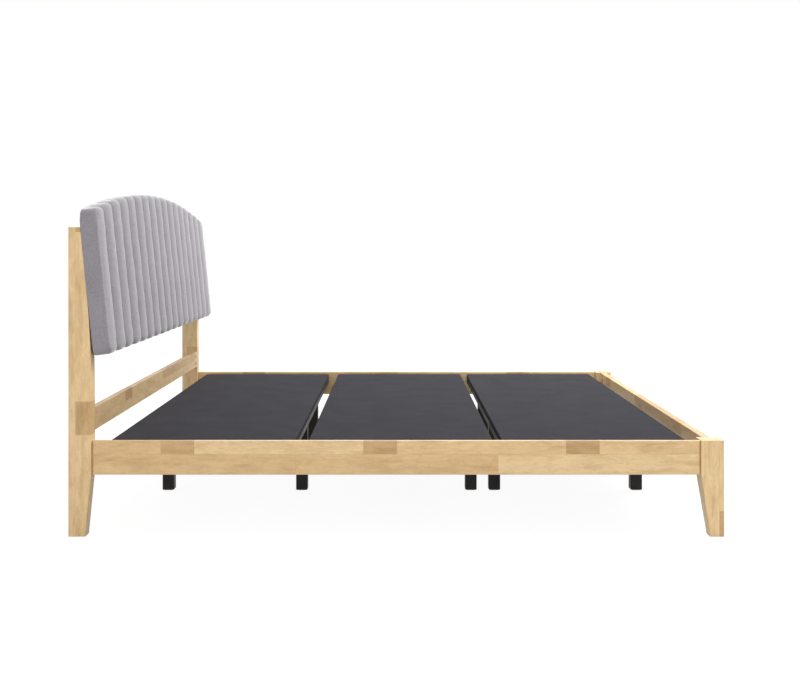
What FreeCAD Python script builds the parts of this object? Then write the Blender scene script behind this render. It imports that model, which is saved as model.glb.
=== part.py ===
"""King-size platform bed: wooden frame, channelled headboard cushion and a three-piece drop-in deck.

Millimetres, +Z up. The origin is on the floor under the middle of the bed. The headboard is at
-X, the foot at +X. "left" is the -Y side and "right" the +Y side, seen from the foot.
"""
import math
import os
import re

import FreeCAD
import Part
import Sketcher
from FreeCAD import Placement, Rotation, Vector

doc = FreeCAD.newDocument("PlatformBed")

# ---------------------------------------------------------------- driving dimensions

SIZES = (
    # whole bed
    ("bed_length", 2172, "outside of the head posts to outside of the foot legs"),
    ("bed_width", 2038, "over the posts"),
    ("edge_ease", 2.5, "small radius on every long wooden edge"),
    ("shown_sides", 16, "flats that stand for a circle on hardware that shows"),
    ("hidden_sides", 8, "the same on pins, screws and their holes"),
    ("hole_play", 0.3, "a hole is this much wider in radius than what it holds"),
    # felt pads under the four wooden feet
    ("pad_height", 2, ""),
    ("pad_radius", 16, ""),
    # head posts
    ("post_width", 76, "along the bed"),
    ("post_thickness", 50, "across the bed"),
    ("post_height", 1026.5, "top above the floor"),
    ("post_top_width", 39.5, "what the lean leaves at the top"),
    ("post_foot_width", 56, "what the taper leaves at the floor"),
    ("lean_angle", 5.8, "degrees that the headboard leans back"),
    ("knee_radius", 3500, "bend from the upright to the leaning front"),
    # foot legs
    ("leg_width", 76, "along the bed"),
    ("leg_depth", 72, "across the bed"),
    ("leg_proud", 1.8, "top above the rails"),
    ("leg_foot_width", 47, "square foot that both tapers leave"),
    # rails
    ("rail_bottom", 205.7, "underside of the side and foot rails above the floor"),
    ("rail_height", 112, "side and foot rails"),
    ("side_rail_thickness", 23, ""),
    ("side_rail_inset", 5, "outer face behind the posts' outer face"),
    ("rail_end_bevel", 6, "bevel that makes the groove at the posts"),
    ("foot_rail_thickness", 27, ""),
    ("foot_rail_inset", 24, "outer face behind the legs' outer face"),
    ("head_rail_thickness", 20.5, ""),
    ("head_rail_height", 78, ""),
    ("head_rail_bottom", 347, ""),
    # cam fittings and dowels at each rail end
    ("cam_radius", 7.5, ""),
    ("cam_depth", 12.5, ""),
    ("cam_setback", 38, "rail end to the cam's middle"),
    ("cam_proud", 0.5, "the cam's face stands this far out of the rail"),
    ("cam_spacing_head", 36, "between the two cams of a head rail end"),
    ("cam_spacing_rail", 40, "between the two cams of a side or foot rail end"),
    ("pin_radius", 3.5, "steel pin that the cam pulls on"),
    ("pin_bite", 14, "pin in the post"),
    ("dowel_radius", 4, ""),
    ("dowel_bite", 16, "dowel in the post and in the rail, each"),
    # deck
    ("deck_drop", 8.2, "deck boards' upper face below the rails' top"),
    ("deck_side_gap", 17, "panel to side rail"),
    ("deck_head_gap", 49, "head posts to the first panel"),
    ("deck_first_gap", 47.5, "first panel to the second"),
    ("deck_second_gap", 32.5, "second panel to the third"),
    ("deck_foot_gap", 59, "third panel to the foot rail"),
    ("board_thickness", 22, ""),
    ("board_corner_radius", 14, ""),
    ("board_edge_bevel", 3, ""),
    ("bar_width", 40, "steel bars of the deck frames"),
    ("bar_height", 20, ""),
    ("head_overhang", 33, "board of the first panel past its frame, at the head"),
    # deck legs
    ("tube_width", 45, "square tube of the deck legs"),
    ("tube_wall", 2, ""),
    ("tube_corner", 3, "bevel on the tube's outer corners"),
    ("tube_row", 290, "leg centres from the bed's middle line"),
    ("tube_inset", 7.5, "tube face inside the frame's edge"),
    ("plate_length", 104, "welded plate at a deck leg's top, across the bed"),
    ("plate_thickness", 4, ""),
    ("plate_bolt_spacing", 76, ""),
    ("glide_height", 4, "plastic foot below the tube"),
    ("glide_stem", 16, "stem inside the tube"),
    ("glide_flat_width", 30, "flat that meets the floor"),
    # steel ledges on the side rails
    ("ledge_length", 320, ""),
    ("ledge_reach", 46, "flange under the deck frame"),
    ("ledge_drop", 35, "flange on the rail"),
    ("ledge_thickness", 4, ""),
    ("ledge_screw_spacing", 220, ""),
    # screws and bolts
    ("bolt_radius", 4, ""),
    ("bolt_head_radius", 7, ""),
    ("bolt_head_height", 5, ""),
    ("screw_radius", 2.5, ""),
    ("screw_head_radius", 5, ""),
    ("screw_head_height", 3, ""),
    ("screw_bite", 16, "screw in the wood"),
    # headboard cushion, measured along its lean
    ("cushion_hang", 429.5, "back lower edge below the posts' tops"),
    ("cushion_rise", 575, "height at the middle"),
    ("cushion_arch_radius", 6000, ""),
    ("cushion_depth", 64, "back to the crown of a channel"),
    ("channel_bulge", 14, "crown above the sewn groove"),
    ("channel_count", 17, ""),
    ("cushion_edge_radius", 24, "rounding round the front"),
    ("cushion_lead", 3, "depth of the rounded block past the crowns"),
    ("cushion_top_radius", 42, "upper corners seen from the front"),
    ("cushion_low_radius", 30, "lower corners seen from the front"),
    ("cushion_gap", 0.3, "cushion and cover clear of the posts"),
    ("back_thickness", 15, "plywood back board"),
    ("back_margin", 5, "fabric and foam round the board's edge"),
    ("cover_thickness", 1, "dust cover over the board"),
    ("cover_margin", 12, "dust cover inside the cushion's edge"),
    # bolts through the posts into the back board
    ("upper_bolt_drop", 41.5, "upper bolts below the posts' tops"),
    ("lower_bolt_drop", 134.5, "lower bolts below the posts' tops"),
    ("hang_recess_radius", 10, "counterbore in the post's back"),
    ("hang_recess_depth", 9, ""),
    ("insert_radius", 6, "threaded insert in the back board"),
    ("insert_length", 11, ""),
)

sheet = doc.addObject("Spreadsheet::Sheet", "Sizes")
for row, (alias, number, note) in enumerate(SIZES, start=1):
    sheet.set(f"A{row}", alias)
    sheet.set(f"B{row}", str(number))
    sheet.setAlias(f"B{row}", alias)
    sheet.set(f"C{row}", note)
doc.recompute()


def bound(text):
    """An expression over the sheet: every word with an underscore is one of its aliases."""
    return re.sub(r"\b([a-z]+(?:_[a-z]+)+)\b", r"Sizes.\1", text)


def value(text):
    """The same expression as a number."""
    return float(sheet.evalExpression(bound(text)))


# ---------------------------------------------------------------- building helpers


def origin_plane(body, role):
    """One of the body's own origin planes: XY_Plane, XZ_Plane or YZ_Plane."""
    return next(item for item in body.Origin.OriginFeatures if item.Role == role)


def add_sketch(body, name, role, loops):
    """Closed outlines on an origin plane; each corner's place is bound to the sheet."""
    sketch = body.newObject("Sketcher::SketchObject", name)
    sketch.AttachmentSupport = [(origin_plane(body, role), "")]
    sketch.MapMode = "FlatFace"
    for loop in loops:
        first = sketch.GeometryCount
        corners = [Vector(value(across), value(up), 0) for across, up in loop]
        for number, corner in enumerate(corners):
            sketch.addGeometry(Part.LineSegment(corner, corners[(number + 1) % len(corners)]))
        for number in range(len(corners)):
            follower = first + (number + 1) % len(corners)
            sketch.addConstraint(Sketcher.Constraint("Coincident", first + number, 2, follower, 1))
        for number, (across, up) in enumerate(loop):
            for kind, text, size in (
                ("DistanceX", across, corners[number].x),
                ("DistanceY", up, corners[number].y),
            ):
                place = sketch.addConstraint(
                    Sketcher.Constraint(kind, -1, 1, first + number, 1, size)
                )
                sketch.setExpression(f"Constraints[{place}]", bound(text))
    return sketch


def add_pad(body, sketch, length, midplane=False, backwards=False):
    pad = body.newObject("PartDesign::Pad", "Pad")
    pad.Profile = sketch
    pad.setExpression("Length", bound(length))
    pad.Midplane = midplane
    pad.Reversed = backwards
    sketch.Visibility = False
    body.Tip = pad
    doc.recompute()
    return pad


def add_through_pocket(body, sketch):
    """A cut right through the body, both ways from the sketch."""
    pocket = body.newObject("PartDesign::Pocket", "Pocket")
    pocket.Profile = sketch
    pocket.Type = "ThroughAll"
    pocket.Midplane = True
    body.Tip = pocket
    doc.recompute()
    return pocket


def edge_names(shape, wanted):
    """Names of the edges for which wanted(middle, direction, length) is true."""
    names = []
    for number, edge in enumerate(shape.Edges, start=1):
        start = edge.Vertexes[0].Point
        finish = edge.Vertexes[-1].Point
        chord = finish - start
        if chord.Length < 1e-6:
            continue
        if wanted((start + finish) * 0.5, chord * (1 / chord.Length), edge.Length):
            names.append(f"Edge{number}")
    return names


def soften(body, kind, size_name, size, wanted):
    """A fillet or chamfer on the chosen edges of the body's last feature."""
    base = body.Tip
    feature = body.newObject(f"PartDesign::{kind}", kind)
    feature.Base = (base, edge_names(base.Shape, wanted))
    feature.setExpression(size_name, bound(size))
    body.Tip = feature
    doc.recompute()
    return feature


def place(thing, x="0", y="0", z="0"):
    """Put a thing in the bed's frame, bound to the sheet."""
    for axis, text in zip("xyz", (x, y, z)):
        thing.setExpression(f"Placement.Base.{axis}", bound(text))
    return thing


def new_body(name):
    return doc.addObject("PartDesign::Body", name)


def rod(name, radius, height, at, along, sides="hidden_sides"):
    """A round bar, drawn with a few flats, from a point along +X, -X, +Y, -Y or +Z."""
    bar = doc.addObject("Part::Prism", name)
    bar.setExpression("Polygon", bound(sides))
    bar.setExpression("Circumradius", bound(radius))
    bar.setExpression("Height", bound(height))
    turns = {
        "+X": Rotation(Vector(0, 1, 0), 90),
        "-X": Rotation(Vector(0, 1, 0), -90),
        "+Y": Rotation(Vector(1, 0, 0), -90),
        "-Y": Rotation(Vector(1, 0, 0), 90),
        "+Z": Rotation(),
    }
    bar.Placement = Placement(Vector(), turns[along])
    return place(bar, *at)


def fuse(name, pieces):
    joined = doc.addObject("Part::MultiFuse", name)
    joined.Shapes = pieces
    return joined


def group(name, pieces):
    """Separate solids that share one node."""
    bundle = doc.addObject("Part::Compound", name)
    bundle.Links = pieces
    return bundle


def cut(name, base, tools):
    """The base with all the tools taken away."""
    holes = group(name + "_holes", tools)
    result = doc.addObject("Part::Cut", name)
    result.Base = base
    result.Tool = holes
    return result


SUBPARTS = []


def finish(label, thing):
    """Names a sub-part; the label is its file's name."""
    thing.Label = label
    SUBPARTS.append(thing)
    return thing


def signed(sign, text):
    return f"{'-' if sign < 0 else ''}({text})"


SIDES = (("left", -1), ("right", 1))

# Places that several pieces share, written once.
POST_FACE = "-bed_length / 2 + post_width"
LEG_FACE = "bed_length / 2 - leg_width"
POST_INNER = "bed_width / 2 - post_thickness"
LEG_INNER = "bed_width / 2 - leg_depth"
SIDE_RAIL_MIDDLE = "bed_width / 2 - side_rail_inset - side_rail_thickness / 2"
SIDE_RAIL_INNER = "bed_width / 2 - side_rail_inset - side_rail_thickness"
FOOT_RAIL_MIDDLE = "bed_length / 2 - foot_rail_inset - foot_rail_thickness / 2"
FOOT_RAIL_INNER = "bed_length / 2 - foot_rail_inset - foot_rail_thickness"
HEAD_RAIL_MIDDLE = "-bed_length / 2 + post_width - head_rail_thickness / 2"
HEAD_RAIL_BACK = "-bed_length / 2 + post_width - head_rail_thickness"
RAIL_CENTRE = "rail_bottom + rail_height / 2"
HEAD_RAIL_CENTRE = "head_rail_bottom + head_rail_height / 2"
LEG_TOP = "rail_bottom + rail_height + leg_proud"
FRAME_TOP = "rail_bottom + rail_height - deck_drop - board_thickness"
FRAME_BOTTOM = f"{FRAME_TOP} - bar_height"
PANEL_GAPS = ("deck_head_gap", "deck_first_gap", "deck_second_gap", "deck_foot_gap")
PANEL_COUNT = len(PANEL_GAPS) - 1
PANEL_ROOM = f"{FOOT_RAIL_INNER} - ({POST_FACE}) - {' - '.join(PANEL_GAPS)}"
PANEL_WIDTH = f"({PANEL_ROOM}) / {PANEL_COUNT}"
PANEL_HALF_SPAN = f"({SIDE_RAIL_INNER} - deck_side_gap)"
BOLT_HEIGHTS = ("post_height - upper_bolt_drop", "post_height - lower_bolt_drop")


# ---------------------------------------------------------------- rail joints


class Joint:
    """One rail end: two cams with their pins and, between them, a dowel.

    face is the post's face as a coordinate along the rail, into is +1 or -1 from that face into
    the rail, and axis is the rail's direction. cam_side is the rail's face that shows the cams.
    """

    def __init__(self, name, axis, face, into, middle, centre, spacing, cam_face, cam_into):
        self.name = name
        self.axis = axis
        self.face = face
        self.into = into
        self.middle = middle
        self.centre = centre
        self.spacing = spacing
        self.cam_face = cam_face
        self.cam_into = cam_into

    def at(self, along, across, up):
        return (along, across, up) if self.axis == "X" else (across, along, up)

    def along_rail(self, name, radius, start, length, up):
        """A bar along the rail; start is measured from the post's face into the rail."""
        way = ("+" if self.into > 0 else "-") + self.axis
        begin = f"{self.face} + {self.into} * ({start})"
        return rod(name, radius, length, self.at(begin, self.middle, up), way)

    def disc(self, name, radius, start, depth, up):
        """A disc sunk into the rail's shown face; start is measured outwards from that face."""
        other = "Y" if self.axis == "X" else "X"
        way = ("+" if self.cam_into > 0 else "-") + other
        begin = f"{self.cam_face} - {self.cam_into} * ({start})"
        along = f"{self.face} + {self.into} * cam_setback"
        return rod(name, radius, depth, self.at(along, begin, up), way, "shown_sides")

    def heights(self):
        return [f"{self.centre} + {sign} * {self.spacing} / 2" for sign in (-1, 1)]

    def post_holes(self):
        play = " + hole_play"
        holes = [
            self.along_rail(f"{self.name}_pin_socket", "pin_radius" + play, "-pin_bite" + "- hole_play",
                     "pin_bite + 2 * hole_play", up)
            for up in self.heights()
        ]
        holes.append(
            self.along_rail(f"{self.name}_dowel_socket", "dowel_radius" + play,
                     "-dowel_bite - hole_play", "dowel_bite + 2 * hole_play", self.centre)
        )
        return holes

    def rail_holes(self):
        play = " + hole_play"
        holes = []
        for up in self.heights():
            holes.append(self.along_rail(f"{self.name}_pin_bore", "pin_radius" + play,
                                  "-hole_play", "cam_setback", up))
            holes.append(self.disc(f"{self.name}_cam_bore", "cam_radius" + play,
                                   "1", "cam_depth - cam_proud + hole_play + 1", up))
        holes.append(self.along_rail(f"{self.name}_dowel_bore", "dowel_radius" + play,
                              "-hole_play", "dowel_bite + 2 * hole_play", self.centre))
        return holes

    def pins(self):
        length = "pin_bite + cam_setback - cam_radius - hole_play"
        return [self.along_rail(f"{self.name}_pin", "pin_radius", "-pin_bite", length, up)
                for up in self.heights()]

    def cams(self):
        return [self.disc(f"{self.name}_cam", "cam_radius", "cam_proud", "cam_depth", up)
                for up in self.heights()]

    def dowel(self):
        return self.along_rail(f"{self.name}_dowel", "dowel_radius", "-dowel_bite",
                        "2 * dowel_bite", self.centre)


JOINTS = {}
# The head rail is drilled alike at both ends for a half turn about its middle: its cams show on
# the front at the right end and on the back at the left end.
HEAD_CAMS = {"left": (HEAD_RAIL_BACK, 1), "right": (POST_FACE, -1)}
for side, sign in SIDES:
    JOINTS["head", side] = Joint(
        f"head_rail_{side}", "Y", signed(sign, POST_INNER), -sign, HEAD_RAIL_MIDDLE,
        HEAD_RAIL_CENTRE, "cam_spacing_head", *HEAD_CAMS[side],
    )
    JOINTS["foot", side] = Joint(
        f"foot_rail_{side}", "Y", signed(sign, LEG_INNER), -sign, FOOT_RAIL_MIDDLE,
        RAIL_CENTRE, "cam_spacing_rail", FOOT_RAIL_INNER, 1,
    )
    JOINTS["side_head", side] = Joint(
        f"side_rail_head_{side}", "X", POST_FACE, 1, signed(sign, SIDE_RAIL_MIDDLE),
        RAIL_CENTRE, "cam_spacing_rail", signed(sign, SIDE_RAIL_INNER), sign,
    )
    JOINTS["side_foot", side] = Joint(
        f"side_rail_foot_{side}", "X", LEG_FACE, -1, signed(sign, SIDE_RAIL_MIDDLE),
        RAIL_CENTRE, "cam_spacing_rail", signed(sign, SIDE_RAIL_INNER), sign,
    )


# ---------------------------------------------------------------- wooden frame


def head_post(side, sign):
    """Upright post with a tapered foot whose upper front leans back for the headboard."""
    body = new_body(f"post_{side}")
    outline = add_sketch(body, "PostSide", "XZ_Plane", [[
        ("0", "pad_height"),
        ("post_foot_width", "pad_height"),
        ("post_width", "rail_bottom"),
        ("post_width", "post_height - (post_width - post_top_width) / tan(lean_angle)"),
        ("post_top_width", "post_height"),
        ("0", "post_height"),
    ]])
    add_pad(body, outline, "post_thickness", midplane=True)
    knee = value("post_height - (post_width - post_top_width) / tan(lean_angle)")
    soften(body, "Fillet", "Radius", "knee_radius",
           lambda middle, way, length: abs(way.y) > 0.9 and abs(middle.z - knee) < 1
           and middle.x > 1)
    soften(body, "Fillet", "Radius", "edge_ease",
           lambda middle, way, length: abs(way.z) > 0.9)
    place(body, "-bed_length / 2", signed(sign, "bed_width / 2 - post_thickness / 2"), "0")
    holes = JOINTS["head", side].post_holes() + JOINTS["side_head", side].post_holes()
    for height in BOLT_HEIGHTS:
        row = signed(sign, "bed_width / 2 - post_thickness / 2")
        back = ("-bed_length / 2 - 1", row, height)
        holes.append(rod("hang_recess", "hang_recess_radius", "hang_recess_depth + 1",
                         back, "+X", "shown_sides"))
        holes.append(rod("hang_bore", "bolt_radius + hole_play", "post_width + 20", back, "+X"))
    return finish(f"head_post_{side}", cut(f"head_post_{side}", body, holes))


def foot_leg(side, sign):
    """Short leg that tapers on its two inner faces, from the rails down to the foot."""
    body = new_body(f"leg_{side}")
    along = add_sketch(body, "LegSide", "XZ_Plane", [[
        ("leg_width - leg_foot_width", "pad_height"),
        ("leg_width", "pad_height"),
        ("leg_width", LEG_TOP),
        ("0", LEG_TOP),
        ("0", "rail_bottom"),
    ]])
    add_pad(body, along, "leg_depth", midplane=True)
    across = add_sketch(body, "LegTaper", "YZ_Plane", [[
        (signed(-sign, "leg_depth / 2"), "rail_bottom"),
        (signed(-sign, "leg_depth / 2 + 5"), "rail_bottom"),
        (signed(-sign, "leg_depth / 2 + 5"), "0"),
        (signed(-sign, "leg_depth / 2 - (leg_depth - leg_foot_width) * rail_bottom"
                       " / (rail_bottom - pad_height)"), "0"),
    ]])
    add_through_pocket(body, across)
    soften(body, "Fillet", "Radius", "edge_ease",
           lambda middle, way, length: abs(way.z) > 0.9)
    place(body, LEG_FACE, signed(sign, "bed_width / 2 - leg_depth / 2"), "0")
    holes = JOINTS["foot", side].post_holes() + JOINTS["side_foot", side].post_holes()
    return finish(f"foot_leg_{side}", cut(f"foot_leg_{side}", body, holes))


def straight_rail(name, role, half_thickness, bottom, height, length):
    """A board on edge whose long edges are eased; role is the plane of its cross-section."""
    body = new_body(name)
    across = half_thickness
    section = add_sketch(body, "RailSection", role, [[
        (f"-({across})", bottom),
        (across, bottom),
        (across, f"{bottom} + {height}"),
        (f"-({across})", f"{bottom} + {height}"),
    ]])
    add_pad(body, section, length, midplane=True)
    return body


def side_rail(side, sign):
    body = straight_rail(f"side_{side}", "YZ_Plane", "side_rail_thickness / 2",
                         "rail_bottom", "rail_height", "bed_length - post_width - leg_width")
    soften(body, "Chamfer", "Size", "rail_end_bevel",
           lambda middle, way, length: abs(way.z) > 0.9 and middle.y * sign > 0)
    soften(body, "Fillet", "Radius", "edge_ease",
           lambda middle, way, length: abs(way.x) > 0.9 and length > 500)
    place(body, "(post_width - leg_width) / 2", signed(sign, SIDE_RAIL_MIDDLE), "0")
    holes = JOINTS["side_head", side].rail_holes() + JOINTS["side_foot", side].rail_holes()
    holes += [hole for place_x in LEDGE_PLACES for hole in ledge_screws(side, sign, place_x)[1]]
    return finish(f"side_rail_{side}", cut(f"side_rail_{side}", body, holes))


def cross_rail(label, end, thickness, middle, bottom, height, length):
    body = straight_rail(f"{label}_board", "XZ_Plane", f"{thickness} / 2", bottom, height, length)
    soften(body, "Fillet", "Radius", "edge_ease",
           lambda middle, way, length: abs(way.y) > 0.9 and length > 500)
    place(body, middle, "0", "0")
    holes = [hole for side, sign in SIDES for hole in JOINTS[end, side].rail_holes()]
    return finish(label, cut(label, body, holes))


# ---------------------------------------------------------------- ledges on the side rails


def panel_start(number):
    """The head edge of deck panel 1, 2 or 3."""
    return f"{POST_FACE} + {' + '.join(PANEL_GAPS[:number])} + {number - 1} * {PANEL_WIDTH}"


LEDGE_PLACES = [f"{panel_start(number)} + {PANEL_WIDTH} / 2" for number in (1, 2, 3)]


def ledge_screws(side, sign, middle):
    """Two screws through a ledge's upright flange, with the holes that they need."""
    screws = []
    holes = []
    inner = signed(sign, SIDE_RAIL_INNER)
    way = "+Y" if sign > 0 else "-Y"
    height = f"{FRAME_BOTTOM} - ledge_drop / 2"
    for step in (-1, 1):
        x = f"{middle} + {step} * ledge_screw_spacing / 2"
        seat = f"{inner} - {sign} * ledge_thickness"
        head = rod("ledge_screw_head", "screw_head_radius", "screw_head_height",
                        (x, f"{seat} - {sign} * screw_head_height", height), way)
        shank = rod("ledge_screw_shank", "screw_radius", "ledge_thickness + screw_bite",
                         (x, seat, height), way)
        screws.append(fuse("ledge_screw", [head, shank]))
        holes.append(rod("ledge_screw_hole", "screw_radius + hole_play",
                              "ledge_thickness + screw_bite + hole_play + 1",
                              (x, f"{seat} - {sign}", height), way))
    return screws, holes


def ledge(number, side, sign):
    """Steel angle screwed to the side rail, with its flat flange under the deck frame."""
    body = new_body(f"angle_{number}_{side}")
    inner = "0"
    section = add_sketch(body, "AngleSection", "YZ_Plane", [[
        (inner, "0"),
        (signed(-sign, "ledge_reach"), "0"),
        (signed(-sign, "ledge_reach"), "-ledge_thickness"),
        (signed(-sign, "ledge_thickness"), "-ledge_thickness"),
        (signed(-sign, "ledge_thickness"), "-ledge_drop"),
        (inner, "-ledge_drop"),
    ]])
    add_pad(body, section, "ledge_length", midplane=True)
    middle = LEDGE_PLACES[number - 1]
    place(body, middle, signed(sign, SIDE_RAIL_INNER), FRAME_BOTTOM)
    holes = ledge_screws(side, sign, middle)[1]
    label = f"ledge_{number}_{side}"
    return finish(label, cut(label, body, holes))


# ---------------------------------------------------------------- deck panels


def leg_places(number):
    """(name, x) of the deck legs of a panel: pairs at each end, but only one pair on panel 2."""
    overhang = "head_overhang" if number == 1 else "0"
    head = f"{panel_start(number)} + {overhang} + tube_inset + tube_width / 2"
    foot = f"{panel_start(number)} + {PANEL_WIDTH} - tube_inset - tube_width / 2"
    if number == 2:
        return [("foot", foot)]
    return [("head", head), ("foot", foot)]


def deck_board(number):
    body = new_body(f"board_{number}")
    outline = add_sketch(body, "BoardOutline", "XY_Plane", [[
        ("0", f"-{PANEL_HALF_SPAN}"),
        (PANEL_WIDTH, f"-{PANEL_HALF_SPAN}"),
        (PANEL_WIDTH, PANEL_HALF_SPAN),
        ("0", PANEL_HALF_SPAN),
    ]])
    add_pad(body, outline, "board_thickness")
    soften(body, "Fillet", "Radius", "board_corner_radius",
           lambda middle, way, length: abs(way.z) > 0.9)
    top = value("board_thickness")
    soften(body, "Chamfer", "Size", "board_edge_bevel",
           lambda middle, way, length: middle.z > top - 0.1)
    place(body, panel_start(number), "0", FRAME_TOP)
    return finish(f"deck_{number}_board", body)


def plate_bolts(number):
    """Bolts up through the legs' plates into the frame bars, with the holes that they need."""
    bolts = []
    holes = []
    for end, x in leg_places(number):
        for row in (-1, 1):
            for step in (-1, 1):
                y = f"{row} * tube_row + {step} * plate_bolt_spacing / 2"
                low = f"{FRAME_BOTTOM} - plate_thickness"
                head = rod("plate_bolt_head", "bolt_head_radius", "bolt_head_height",
                                (x, y, f"{low} - bolt_head_height"), "+Z")
                shank = rod("plate_bolt_shank", "bolt_radius",
                                 "plate_thickness + bar_height - 4", (x, y, low), "+Z")
                bolts.append(fuse("plate_bolt", [head, shank]))
                holes.append(rod("plate_bolt_hole", "bolt_radius + hole_play",
                                      "plate_thickness + bar_height - 3 + 1",
                                      (x, y, f"{low} - 1"), "+Z"))
    return bolts, holes


def deck_frame(number):
    """Welded frame of flat-laid bars: two long ones, the ends and one over each leg row."""
    overhang = "head_overhang" if number == 1 else "0"
    body = new_body(f"frame_{number}")
    near = f"{overhang} + bar_width"
    far = f"{PANEL_WIDTH} - bar_width"
    bays = (
        (f"-{PANEL_HALF_SPAN} + bar_width", "-tube_row - bar_width / 2"),
        ("-tube_row + bar_width / 2", "tube_row - bar_width / 2"),
        ("tube_row + bar_width / 2", f"{PANEL_HALF_SPAN} - bar_width"),
    )
    loops = [[
        (overhang, f"-{PANEL_HALF_SPAN}"),
        (PANEL_WIDTH, f"-{PANEL_HALF_SPAN}"),
        (PANEL_WIDTH, PANEL_HALF_SPAN),
        (overhang, PANEL_HALF_SPAN),
    ]]
    loops += [[(near, low), (far, low), (far, high), (near, high)] for low, high in bays]
    outline = add_sketch(body, "FrameOutline", "XY_Plane", loops)
    add_pad(body, outline, "bar_height")
    width = value(PANEL_WIDTH)
    half = value(PANEL_HALF_SPAN)
    start = value(overhang)
    soften(body, "Fillet", "Radius", "board_corner_radius",
           lambda middle, way, length: abs(way.z) > 0.9 and abs(abs(middle.y) - half) < 1
           and (abs(middle.x - start) < 1 or abs(middle.x - width) < 1))
    place(body, panel_start(number), "0", FRAME_BOTTOM)
    label = f"deck_{number}_frame"
    return finish(label, cut(label, body, plate_bolts(number)[1]))


def deck_leg(number, end, x, side, sign):
    """Square tube with a welded plate on top that bolts to the frame."""
    name = f"deck_{number}_leg_{end}_{side}"
    body = new_body(f"{name}_tube")
    half = "tube_width / 2"
    bore = "tube_width / 2 - tube_wall"
    square = [(-1, -1), (1, -1), (1, 1), (-1, 1)]
    loops = [[(f"{a} * ({reach})", f"{b} * ({reach})") for a, b in square]
             for reach in (half, bore)]
    section = add_sketch(body, "TubeSection", "XY_Plane", loops)
    add_pad(body, section, f"{FRAME_BOTTOM} - plate_thickness - glide_height")
    outer = value(half)
    soften(body, "Chamfer", "Size", "tube_corner",
           lambda middle, way, length: abs(way.z) > 0.9 and abs(abs(middle.x) - outer) < 0.1)
    place(body, x, f"{sign} * tube_row", "glide_height")
    plate = doc.addObject("Part::Box", f"{name}_plate")
    plate.setExpression("Length", bound("tube_width"))
    plate.setExpression("Width", bound("plate_length"))
    plate.setExpression("Height", bound("plate_thickness"))
    place(plate, f"{x} - tube_width / 2", f"{sign} * tube_row - plate_length / 2",
          f"{FRAME_BOTTOM} - plate_thickness")
    welded = fuse(f"{name}_welded", [body, plate])
    return finish(name, cut(name, welded, plate_bolts(number)[1]))


def deck_glide(x, sign):
    """Plastic foot: a cap that tapers to the floor, with a square stem that plugs the tube."""
    stem = doc.addObject("Part::Box", "glide_stem")
    reach = "tube_width / 2 - tube_wall - hole_play"
    stem.setExpression("Length", bound(f"2 * ({reach})"))
    stem.setExpression("Width", bound(f"2 * ({reach})"))
    stem.setExpression("Height", bound("glide_stem"))
    place(stem, f"{x} - ({reach})", f"{sign} * tube_row - ({reach})", "glide_height")
    cap = doc.addObject("Part::Wedge", "glide_cap")
    cap.setExpression("Ymin", "0")
    cap.setExpression("Ymax", bound("glide_height"))
    for axis in "XZ":
        cap.setExpression(f"{axis}min", bound("-glide_flat_width / 2"))
        cap.setExpression(f"{axis}max", bound("glide_flat_width / 2"))
        cap.setExpression(f"{axis}2min", bound("-tube_width / 2"))
        cap.setExpression(f"{axis}2max", bound("tube_width / 2"))
    cap.Placement = Placement(Vector(), Rotation(Vector(1, 0, 0), 90))
    place(cap, x, f"{sign} * tube_row", "0")
    return fuse("glide", [stem, cap])


# ---------------------------------------------------------------- headboard


def lean():
    """The headboard's own frame: x out of the leaning post fronts, z up along the lean."""
    tangent = math.tan(math.radians(value("lean_angle")))
    hang = value("cushion_hang")
    foot = Vector(value("-bed_length / 2 + post_top_width") + hang * tangent, 0,
                  value("post_height") - hang)
    return Placement(foot, Rotation(Vector(0, 1, 0), -value("lean_angle")))


def headboard_outline(margin, x):
    """Arched outline with rounded corners, inset by a margin, at a depth x of its own frame."""
    half = value("bed_width / 2") - margin
    arch = value("cushion_arch_radius") - margin
    middle = value("cushion_rise - cushion_arch_radius")
    top_radius = value("cushion_top_radius") - margin
    low_radius = value("cushion_low_radius") - margin
    corner_y = half - top_radius
    corner_z = middle + math.sqrt((arch - top_radius) ** 2 - corner_y**2)
    slope = math.atan2(corner_y, corner_z - middle)
    diagonal = math.sqrt(0.5)

    def point(y, z):
        return Vector(x, y, z)

    def side(way):
        """From the bottom to the arch, on one side."""
        low = point(way * (half - low_radius), margin)
        low_middle = point(way * (half - low_radius + low_radius * diagonal),
                           margin + low_radius - low_radius * diagonal)
        low_end = point(way * half, margin + low_radius)
        high = point(way * half, corner_z)
        bend = math.pi / 4 + slope / 2
        high_middle = point(way * (corner_y + top_radius * math.sin(bend)),
                            corner_z + top_radius * math.cos(bend))
        high_end = point(way * arch * math.sin(slope), middle + arch * math.cos(slope))
        return low, low_middle, low_end, high, high_middle, high_end

    right = side(1)
    left = side(-1)
    edges = [
        Part.LineSegment(left[0], right[0]),
        Part.Arc(right[0], right[1], right[2]),
        Part.LineSegment(right[2], right[3]),
        Part.Arc(right[3], right[4], right[5]),
        Part.Arc(right[5], point(0, middle + arch), left[5]),
        Part.Arc(left[5], left[4], left[3]),
        Part.LineSegment(left[3], left[2]),
        Part.Arc(left[2], left[1], left[0]),
    ]
    return Part.Face(Part.Wire([edge.toShape() for edge in edges]))


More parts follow.
